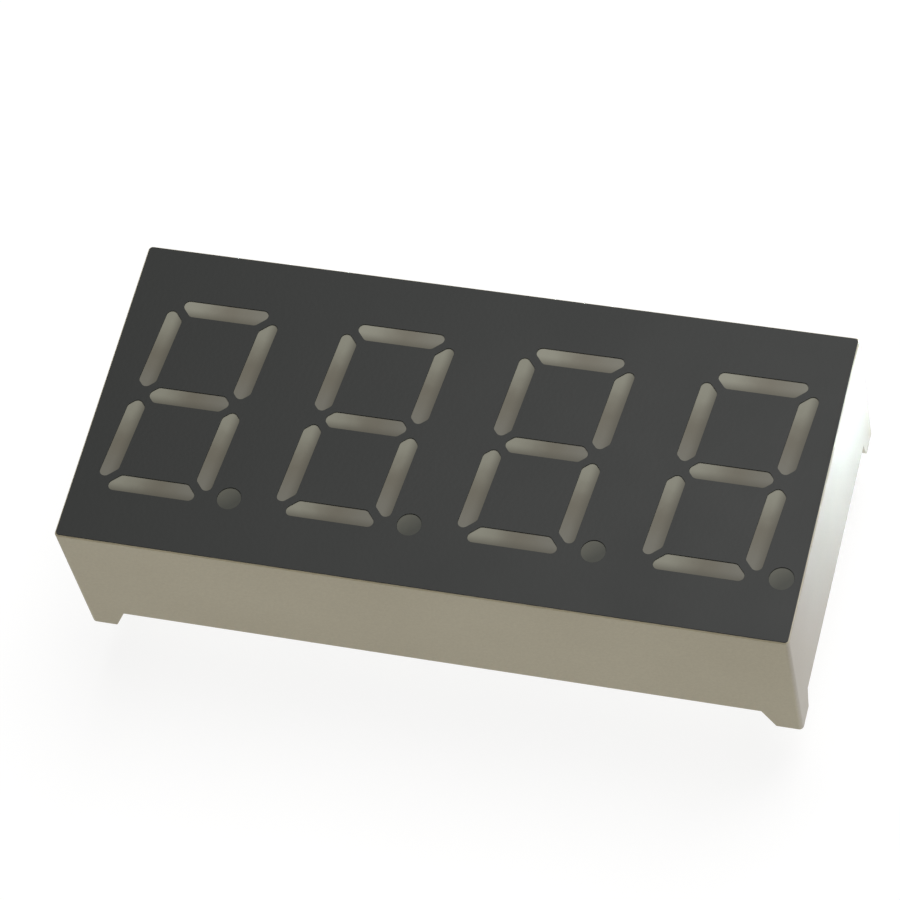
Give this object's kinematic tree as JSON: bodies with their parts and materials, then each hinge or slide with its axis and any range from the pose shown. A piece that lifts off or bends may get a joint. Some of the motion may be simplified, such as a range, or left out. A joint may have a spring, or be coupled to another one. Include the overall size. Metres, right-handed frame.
{
  "type": "seven segment display module",
  "caption": "Numeric LED display: slanted seven segment digits with decimal points in a dark face, on a white reflector case with corner feet and two rows of pins underneath.",
  "frame": {"origin": "centre of the seating plane under the four corner feet, where the module stands on the board it is soldered to", "axes": "+X along the digits from the first to the last, +Y towards the top of the digits, +Z out of the display face"},
  "size_m": [0.03, 0.014, 0.0096],
  "materials": {
    "case_plastic": "moulded off-white polycarbonate",
    "face_ink": "dark grey screen printed ink",
    "segment_resin": "milky cast epoxy",
    "point_resin": "milky cast epoxy in a narrow well",
    "potting_resin": "poured epoxy",
    "board_laminate": "glass epoxy laminate",
    "chip_crystal": "sawn semiconductor crystal",
    "wire_gold": "drawn gold wire",
    "pin_tin": "tinned steel wire"
  },
  "bodies": {
    "root": {"reflector_case": "case_plastic", "face_mask": "face_ink", "circuit_board": "board_laminate", "back_resin": "potting_resin", "digit_1_segment_a": "segment_resin", "digit_1_segment_b": "segment_resin", "digit_1_segment_c": "segment_resin", "digit_1_segment_d": "segment_resin", "digit_1_segment_e": "segment_resin", "digit_1_segment_f": "segment_resin", "digit_1_segment_g": "segment_resin", "digit_2_segment_a": "segment_resin", "digit_2_segment_b": "segment_resin", "digit_2_segment_c": "segment_resin", "digit_2_segment_d": "segment_resin", "digit_2_segment_e": "segment_resin", "digit_2_segment_f": "segment_resin", "digit_2_segment_g": "segment_resin", "digit_3_segment_a": "segment_resin", "digit_3_segment_b": "segment_resin", "digit_3_segment_c": "segment_resin", "digit_3_segment_d": "segment_resin", "digit_3_segment_e": "segment_resin", "digit_3_segment_f": "segment_resin", "digit_3_segment_g": "segment_resin", "digit_4_segment_a": "segment_resin", "digit_4_segment_b": "segment_resin", "digit_4_segment_c": "segment_resin", "digit_4_segment_d": "segment_resin", "digit_4_segment_e": "segment_resin", "digit_4_segment_f": "segment_resin", "digit_4_segment_g": "segment_resin", "digit_1_point": "point_resin", "digit_2_point": "point_resin", "digit_3_point": "point_resin", "digit_4_point": "point_resin", "digit_1_led_chips": "chip_crystal", "digit_2_led_chips": "chip_crystal", "digit_3_led_chips": "chip_crystal", "digit_4_led_chips": "chip_crystal", "digit_1_bond_wires": "wire_gold", "digit_2_bond_wires": "wire_gold", "digit_3_bond_wires": "wire_gold", "digit_4_bond_wires": "wire_gold", "pin_1": "pin_tin", "pin_2": "pin_tin", "pin_3": "pin_tin", "pin_4": "pin_tin", "pin_5": "pin_tin", "pin_6": "pin_tin", "pin_7": "pin_tin", "pin_8": "pin_tin", "pin_9": "pin_tin", "pin_10": "pin_tin", "pin_11": "pin_tin", "pin_12": "pin_tin"}
  },
  "joints": []
}
